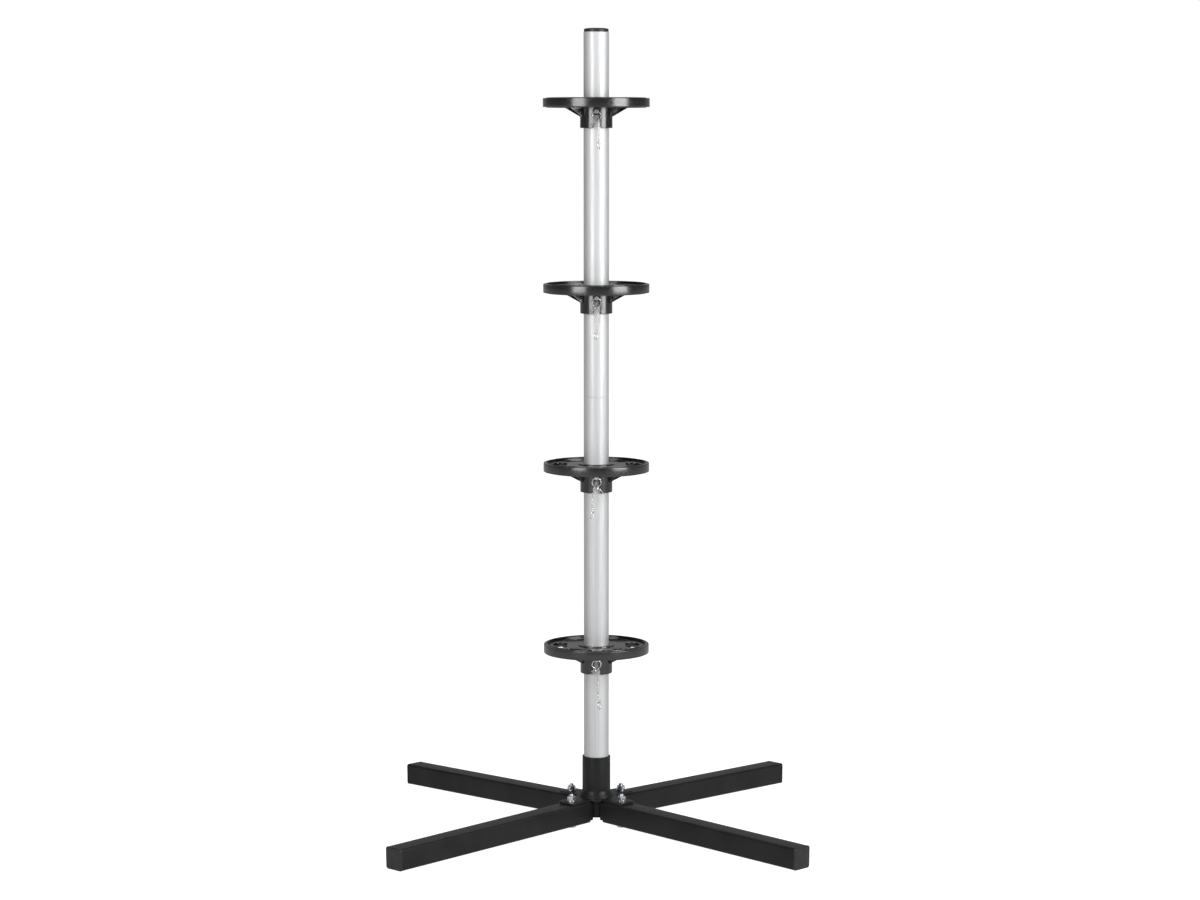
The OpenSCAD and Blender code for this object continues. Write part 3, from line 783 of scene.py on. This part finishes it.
# ---------- wheel plates ----------
# Four moulded plates of glossy black plastic. A flat rim carries the wheel; six curved slots leave six
# spokes; a boss and a long collar slide on the pole, and a slot in the collar drops over the pin.
# Four ribs brace the collar against the spokes.
RIM_WALL = 4.5
RIM_HEIGHT = 11.5
RIM_EDGE = 0.8
WEB_LOW = 5.2
WEB_TOP = 9.2
SLOT_INNER = 39.0
SLOT_OUTER = 57.0
SLOT_TURN = 12.0
SLOT_EDGE = 0.6
COLLAR_DROP = 27.0
COLLAR_R = 21.0
COLLAR_BORE = 17.1
BOSS_R = 24.0
BOSS_TOP = 10.4
PIN_DROP = 5.5
PIN_SLOT_HALF = 3.3
NOTCH_HALF = 5.5
NOTCH_HEIGHT = 8.0
RIB_THICKNESS = 3.2
RIB_ANGLES = (30, 150, 210, 330)
RIM_TURNS = 144
RIM_STEPS = 5
RIB_EDGE = 0.3
RIB_TOP = 6.2
RIB_FOOT = -14.5
RIB_BEND = 41
RIB_END = 60
RIB_END_LOW = 4.7


def gloss_plastic():
    """Polished black moulding: deep gloss, slightly wavy as a thick part is once it has cooled."""
    material, tree, shader, space = new_finish("black_gloss_plastic", (0.008, 0.008, 0.008), 0.0, 0.2)
    shader.inputs["Specular IOR Level"].default_value = 0.86
    tint(tree, speckle(tree, space, 18, detail=2), (0.006, 0.006, 0.006), (0.011, 0.011, 0.011),
         shader.inputs["Base Color"])
    vary(tree, speckle(tree, space, 3.0, detail=4), 0.16, 0.28, shader.inputs["Roughness"])
    wavy = roughen(tree, shader, speckle(tree, space, 16, detail=1), 0.05)
    roughen(tree, shader, speckle(tree, space, 0.8, detail=2), 0.004, after=wavy)
    return material


def kidney(offset, degrees):
    """Curved slot between two spokes, grown by offset: two arcs about the axis joined by two half circles."""
    turn = math.radians(SLOT_TURN)
    middle, end = (SLOT_INNER + SLOT_OUTER) / 2, (SLOT_OUTER - SLOT_INNER) / 2 + offset
    inner, outer = SLOT_INNER - offset, SLOT_OUTER + offset
    a = np.linspace(-turn, turn, 13)
    half = np.linspace(0, np.pi, 13)[1:-1]
    far = np.column_stack([outer * np.cos(a), outer * np.sin(a)])
    near = np.column_stack([inner * np.cos(a[::-1]), inner * np.sin(a[::-1])])
    ends = [turned(np.column_stack([middle + end * np.cos(s * half), end * np.sin(s * half)]), s * SLOT_TURN)
            for s in (1, -1)]
    return turned(np.concatenate([far, ends[0], near, ends[1][::-1]]), degrees)


def collar_sheet(radius, top, inward):
    """Collar wall, flat as (arc length, height), with the pin's slot cut up into it front and back.
    A slot's side is at x = +-half width, so its angle is asin(x / radius); its top is a half circle."""
    columns = (np.arange(RIM_TURNS + 1) / RIM_TURNS * 2 - 0.5) * np.pi
    t = np.linspace(np.pi, 0, 15)
    rise = np.linspace(0, 1, 5)[:, None]
    foot, shoulder = [-NOTCH_HALF, -COLLAR_DROP], [-PIN_SLOT_HALF, NOTCH_HEIGHT - COLLAR_DROP]
    side = np.concatenate([foot + rise * (np.array(shoulder) - foot),
                           shoulder + rise[1:] * ([-PIN_SLOT_HALF, -PIN_DROP] - np.array(shoulder))])
    arch = np.column_stack([PIN_SLOT_HALF * np.cos(t), -PIN_DROP + PIN_SLOT_HALF * np.sin(t)])
    slot = np.concatenate([side, arch[1:-1], side[::-1] * [-1, 1]])
    edge = math.asin(NOTCH_HALF / radius)
    bottom = [np.linspace(a, b, n)[1:-1] for a, b, n in
              ((-np.pi / 2, -edge, 36), (edge, np.pi - edge, 70), (np.pi + edge, 1.5 * np.pi, 36))]
    flat = [np.column_stack([a * radius, np.full(len(a), -COLLAR_DROP)]) for a in bottom]
    slots = [np.column_stack([radius * (c + np.arcsin(slot[:, 0] / radius)), slot[:, 1]]) for c in (0, np.pi)]
    ends = np.array([[-np.pi / 2 * radius, -COLLAR_DROP], [1.5 * np.pi * radius, -COLLAR_DROP]])
    foot_line = np.concatenate([ends[:1], flat[0], slots[0], flat[1], slots[1], flat[2], ends[1:]])
    along = np.gradient(foot_line, axis=0)
    along /= np.linalg.norm(along, axis=1, keepdims=True)
    lifted = foot_line + inward * np.column_stack([-along[:, 1], along[:, 0]])
    lifted[[0, -1], 0] = ends[:, 0]
    top_line = np.column_stack([columns[::-1] * radius, np.full(RIM_TURNS + 1, top)])
    outline = np.concatenate([lifted, top_line])
    heights = np.linspace(-COLLAR_DROP, top, 12)[1:-1]
    inside = np.stack(np.meshgrid(columns[2:-2:2] * radius, heights), -1).reshape(-1, 2)
    clear = within(inside, outline)
    for c in (0, np.pi):
        sideways = np.abs(inside[:, 0] - c * radius)
        clear &= (sideways > NOTCH_HALF + 1.2) | (inside[:, 1] > -PIN_DROP + PIN_SLOT_HALF + 1.2)
    sheet, faces = flat_sheet(outline, inside=inside[clear])
    return sheet, faces, lifted, foot_line


def rib(degrees, station):
    """Triangular brace: its outline (distance from the axis, height), with a broken edge on both faces."""
    outline = rounded_outline([
        (COLLAR_R - 1, RIB_TOP, RIB_EDGE), (COLLAR_R - 1, RIB_FOOT, RIB_EDGE), (RIB_BEND, 0, 3),
        (RIB_END, RIB_END_LOW, RIB_EDGE), (RIB_END, RIB_TOP, RIB_EDGE)], 3)
    half = RIB_THICKNESS / 2
    rows = []
    for inward, across in ((0.4, -half), (0, 0.4 - half), (0, half - 0.4), (0.4, half)):
        ring = inset(outline, inward)
        rows.append(np.column_stack([ring[:, 0], np.full(len(ring), across), ring[:, 1]]))
    rows = np.stack(rows)
    turn = math.radians(degrees)
    x, y = rows[..., 0], rows[..., 1]
    rows = np.stack([x * math.cos(turn) - y * math.sin(turn), x * math.sin(turn) + y * math.cos(turn),
                     rows[..., 2] + station], -1)
    count = rows.shape[1]
    return [skin(rows, ring_columns=True), (rows[0], [list(range(count))], False),
            (rows[-1], [list(range(count))], False)]


def plate_patches(plate_r, station):
    """The whole plate as one closed skin from rim to collar, with the four ribs let into it."""
    rim_r = plate_r - RIM_WALL
    rim = rounded_outline([(rim_r, WEB_LOW - 9, 0), (rim_r, 0, RIM_EDGE), (plate_r, 0, RIM_EDGE),
                           (plate_r, RIM_HEIGHT, RIM_EDGE), (rim_r, RIM_HEIGHT, RIM_EDGE),
                           (rim_r, WEB_TOP + 9, 0)], RIM_STEPS)
    # The first and the last corner only give the rim's two ends their direction.
    rim = rim[RIM_STEPS + 1:-RIM_STEPS - 1]
    rim = np.concatenate([[(rim_r, WEB_LOW)], rim, [(rim_r, WEB_TOP)]])
    patches = [lathe(rim, RIM_TURNS, ring=False)]
    angles = [60 * n for n in range(6)]
    for level, boss in ((WEB_TOP, BOSS_R), (WEB_LOW, COLLAR_R + 1)):
        sheet, faces = flat_sheet(
            circle(0, 0, rim_r, RIM_TURNS),
            [circle(0, 0, boss, RIM_TURNS), *(kidney(SLOT_EDGE, a) for a in angles)])
        patches.append((np.column_stack([sheet, np.full(len(sheet), level)]), faces, False))
    curve = np.linspace(0, np.pi / 2, 5)
    slot_rows = [(SLOT_EDGE * (1 - math.sin(c)), WEB_LOW + SLOT_EDGE * (1 - math.cos(c))) for c in curve]
    slot_rows += [(grown, WEB_LOW + WEB_TOP - z) for grown, z in slot_rows[::-1]]
    for a in angles:
        rows = [np.column_stack([kidney(grown, a), np.full(48, z)]) for grown, z in slot_rows]
        patches.append(skin(np.stack(rows), ring_columns=True))
    patches.append(lathe([(BOSS_R, WEB_TOP), (BOSS_R - 0.2, BOSS_TOP - 0.5), (BOSS_R - 0.7, BOSS_TOP),
                          (COLLAR_BORE + 0.5, BOSS_TOP), (COLLAR_BORE, BOSS_TOP - 0.5)],
                         RIM_TURNS, ring=False))
    bend = [(COLLAR_R + 1 - math.sin(c), WEB_LOW - 1 + math.cos(c)) for c in curve]
    patches.append(lathe(bend, RIM_TURNS, ring=False))
    outer, outer_faces, outer_lifted, outer_line = collar_sheet(COLLAR_R, WEB_LOW - 1, 0.4)
    inner, inner_faces, inner_lifted, _ = collar_sheet(COLLAR_BORE, BOSS_TOP - 0.5, 0.0)
    patches.append((wrapped(outer, COLLAR_R), outer_faces, True))
    patches.append((wrapped(inner, COLLAR_BORE), inner_faces, True))
    shrunk = outer_line * [(COLLAR_R - 0.4) / COLLAR_R, 1]
    foot = np.stack([wrapped(outer_lifted, COLLAR_R), wrapped(shrunk, COLLAR_R - 0.4),
                     wrapped(inner_lifted, COLLAR_BORE)])
    patches.append(skin(foot))
    patches = [(points + [0, 0, station], faces, smooth) for points, faces, smooth in patches]
    return patches + [patch for a in RIB_ANGLES for patch in rib(a, station)]


gloss = gloss_plastic()
for k in (1, 2, 3, 4):
    low, high = box_mm(f"wheel_plate_{k}")
    make_piece(f"plate_{k}", plate_patches((high[0] - low[0]) / 2, low[2] + COLLAR_DROP),
               gloss, f"plate_{k}", "plate_plastic", f"wheel_plate_{k}")

# ---------- pins and their heads ----------
# Each pin is a 6 mm steel rod through the pole, bevelled at both ends and cross-drilled at the front for
# its ring; that eye is not cut in this mesh. A round plastic head on it stops against the collar.
EYE_Y = -31.0
PIN_BEVEL = 0.8


def laid_down(points, height):
    """Points of a shape about Z, laid so that its axis runs along Y with its top to the front."""
    return np.stack([points[..., 0], -points[..., 2], points[..., 1] + height], -1)


for k in (1, 2, 3, 4):
    low, high = box_mm(f"pin_{k}")
    pin_r = (high[2] - low[2]) / 2
    pin_z = pin_heights[k]
    rod = np.array([
        (0.001, -high[1]), (pin_r - PIN_BEVEL, -high[1]), (pin_r, -high[1] + 2 * PIN_BEVEL),
        (pin_r, -low[1] - PIN_BEVEL), (pin_r - PIN_BEVEL, -low[1]), (0.001, -low[1])])
    points, faces, smooth = lathe(rod, 32, ring=False)
    make_piece(f"pin_rod_{k}", [(laid_down(points, pin_z), faces, smooth)], zinc, f"pin_{k}", "zinc_steel",
               f"pin_{k}")
    low, high = box_mm(f"pin_head_{k}")
    head_r = (high[2] - low[2]) / 2
    profile = rounded_outline([
        (pin_r - 0.1, -high[1], 0.2), (head_r, -high[1], 0.3), (head_r, -low[1], 0.8),
        (pin_r - 0.1, -low[1], 0.2)], 4)
    points, faces, smooth = lathe(profile, 48)
    make_piece(f"pin_button_{k}", [(laid_down(points, pin_z), faces, smooth)], cap_plastic, f"pin_{k}",
               "cap_plastic", f"pin_head_{k}")

# ---------- pin rings and split rings ----------
# A nickel-plated wire ring runs through the eye of each pin; a split ring of two close coils hangs from it
# and leans to one side.
RING_R = 5.75
RING_WIRE = 0.7
SPLIT_R = 7.2
SPLIT_WIRE = 0.34
SPLIT_LEAN = math.radians(41)
SPLIT_HOOK = (1.75, 1.7)
CHAIN_SIDES = (1, -1, 1, 1)


def nickel():
    """Nickel-plated wire: warm bright metal with a little tarnish in random patches."""
    material, tree, shader, space = new_finish("nickel_wire", (0.82, 0.80, 0.77), 1.0, 0.18)
    tint(tree, speckle(tree, space, 2.5), (0.62, 0.60, 0.57), (0.88, 0.86, 0.83), shader.inputs["Base Color"])
    vary(tree, speckle(tree, space, 0.7), 0.10, 0.28, shader.inputs["Roughness"])
    roughen(tree, shader, speckle(tree, space, 0.3, detail=1), 0.003)
    return material


def wire(path, radius, sides=10, ring=True):
    """Round wire along a path: each point carries a circle across the path, spanned by the cross product of
    the path and one fixed plane's normal, and a direction square to both. The plane holds the path's middle,
    its start and the point a quarter of the way along, so it is the loop's own only for a path of one turn.
    Open ends taper to a pinhole."""
    if ring:
        along = np.roll(path, -1, 0) - np.roll(path, 1, 0)
    else:
        along = np.gradient(path, axis=0)
    along /= np.linalg.norm(along, axis=1, keepdims=True)
    middle = path.mean(0)
    plane = np.cross(path[0] - middle, path[len(path) // 4] - middle)
    plane /= np.linalg.norm(plane)
    side = np.cross(along, plane)
    side /= np.linalg.norm(side, axis=1, keepdims=True)
    up = np.cross(side, along)
    b = np.linspace(0, 2 * np.pi, sides, endpoint=False)
    share = np.linspace(0, 1, len(path))
    thick = radius * (1 if ring else np.clip(60 * np.minimum(share, 1 - share), 0.002, 1) ** 0.5)
    thick = np.broadcast_to(thick, len(path))[:, None, None]
    circle_at = np.cos(b)[None, :, None] * side[:, None] + np.sin(b)[None, :, None] * up[:, None]
    return skin(path[:, None] + thick * circle_at, ring_rows=ring, ring_columns=True)


def loop_path(radius, steps=48):
    """Circle in the XZ plane."""
    a = np.linspace(0, 2 * np.pi, steps, endpoint=False)
    return np.column_stack([radius * np.sin(a), 0 * a, radius * np.cos(a)])


nickel_wire = nickel()
for k, side in zip((1, 2, 3, 4), CHAIN_SIDES):
    ring_centre = np.array([0, EYE_Y, pin_heights[k] - RING_R])
    make_piece(f"wire_ring_{k}", [wire(ring_centre + loop_path(RING_R), RING_WIRE)], nickel_wire,
               f"ring_{k}", "ring_wire", f"pin_ring_{k}")
    a = np.linspace(0, 4 * np.pi, 97)
    coil = np.column_stack([SPLIT_R + SPLIT_R * np.cos(a), SPLIT_R * np.sin(a),
                            SPLIT_WIRE * np.tanh((a - 2 * np.pi) * 4)])
    c, s = math.cos(SPLIT_LEAN), math.sin(SPLIT_LEAN)
    leaning = np.column_stack([c * coil[:, 0] + s * coil[:, 2] - SPLIT_HOOK[0], coil[:, 1],
                               c * coil[:, 2] - s * coil[:, 0] + SPLIT_HOOK[1]])
    leaning[:, 0] *= -side
    place = np.array([0, EYE_Y, pin_heights[k] - 2 * RING_R])
    make_piece(f"coil_ring_{k}", [wire(place + leaning, SPLIT_WIRE, ring=False)], nickel_wire,
               f"split_ring_{k}", "ring_wire", f"link_ring_{k}")

# ---------- keeper chains ----------
# Short fine chains that hang from the pins' rings: a jump ring, oval wire links turned by quarters, and a
# larger end ring.
CHAIN_LINKS = (15, 11, 11, 9)
CHAIN_LEANS = (1, -2, -7, 0)
CHAIN_SWAYS = (-9, -11, 6, 4)
CHAIN_END_LEANS = (0, -20, 0, 0)
CHAIN_SIDE = 3.0
CHAIN_PLAY = 0.15
JUMP_R = 2.6
JUMP_WIRE = 0.45
LINK_HALF_WIDTH = 1.1
LINK_HALF_LENGTH = 1.9
LINK_WIRE = 0.4
END_R = 4.6
END_WIRE = 0.55
END_TURN = 65
link_step = 2 * (LINK_HALF_LENGTH - LINK_WIRE) - CHAIN_PLAY


def link_path():
    """Oval in the XZ plane: two half circles joined by straight sides along Z."""
    a = np.linspace(0, 2 * np.pi, 24, endpoint=False)
    straight = LINK_HALF_LENGTH - LINK_HALF_WIDTH
    return np.column_stack([LINK_HALF_WIDTH * np.sin(a), 0 * a,
                            LINK_HALF_WIDTH * np.cos(a) + straight * np.sign(np.round(np.cos(a), 6))])


def spun(path, degrees):
    """Path turned about Z."""
    return np.column_stack([turned(path[:, :2], degrees), path[:, 2]])


def leaned(path, degrees):
    """Path leaned about Y, so that what hangs down swings towards +X."""
    c, s = math.cos(math.radians(degrees)), math.sin(math.radians(degrees))
    return np.column_stack([c * path[:, 0] - s * path[:, 2], path[:, 1], s * path[:, 0] + c * path[:, 2]])


for k, side, count, lean, sway, end_lean in zip(
        (1, 2, 3, 4), CHAIN_SIDES, CHAIN_LINKS, CHAIN_LEANS, CHAIN_SWAYS, CHAIN_END_LEANS):
    hook_z = pin_heights[k] - RING_R - math.sqrt(RING_R ** 2 - CHAIN_SIDE ** 2)
    jump = np.array([side * CHAIN_SIDE, EYE_Y, hook_z + RING_WIRE + JUMP_WIRE + 0.3 - JUMP_R])
    leans = lean + sway * np.sin(2 * np.pi * np.arange(count) / count)
    steps = link_step * np.column_stack([np.sin(np.radians(leans)), 0 * leans, -np.cos(np.radians(leans))])
    places = np.concatenate([np.zeros((1, 3)), np.cumsum(steps, 0)])
    hang = jump + [0, 0, JUMP_WIRE + CHAIN_PLAY / 2 - JUMP_R]
    chain = [wire(jump + spun(loop_path(JUMP_R, 32), 90), JUMP_WIRE, 8)]
    for n in range(count):
        oval = leaned(spun(link_path(), 90 * (n % 2)), leans[n])
        chain.append(wire(hang + (places[n] + places[n + 1]) / 2 + oval, LINK_WIRE, 8))
    end_ring = spun(loop_path(END_R, 40), END_TURN) - [0, 0, END_R]
    end_ring = leaned(end_ring, end_lean) + leaned(np.array([[0, 0, END_WIRE + CHAIN_PLAY / 2]]), leans[-1])
    chain.append(wire(hang + places[-1] + end_ring, END_WIRE, 10))
    make_piece(f"chain_links_{k}", chain, nickel_wire, f"chain_{k}", "ring_wire",
               f"keeper_chain_{k}", sharp=60)
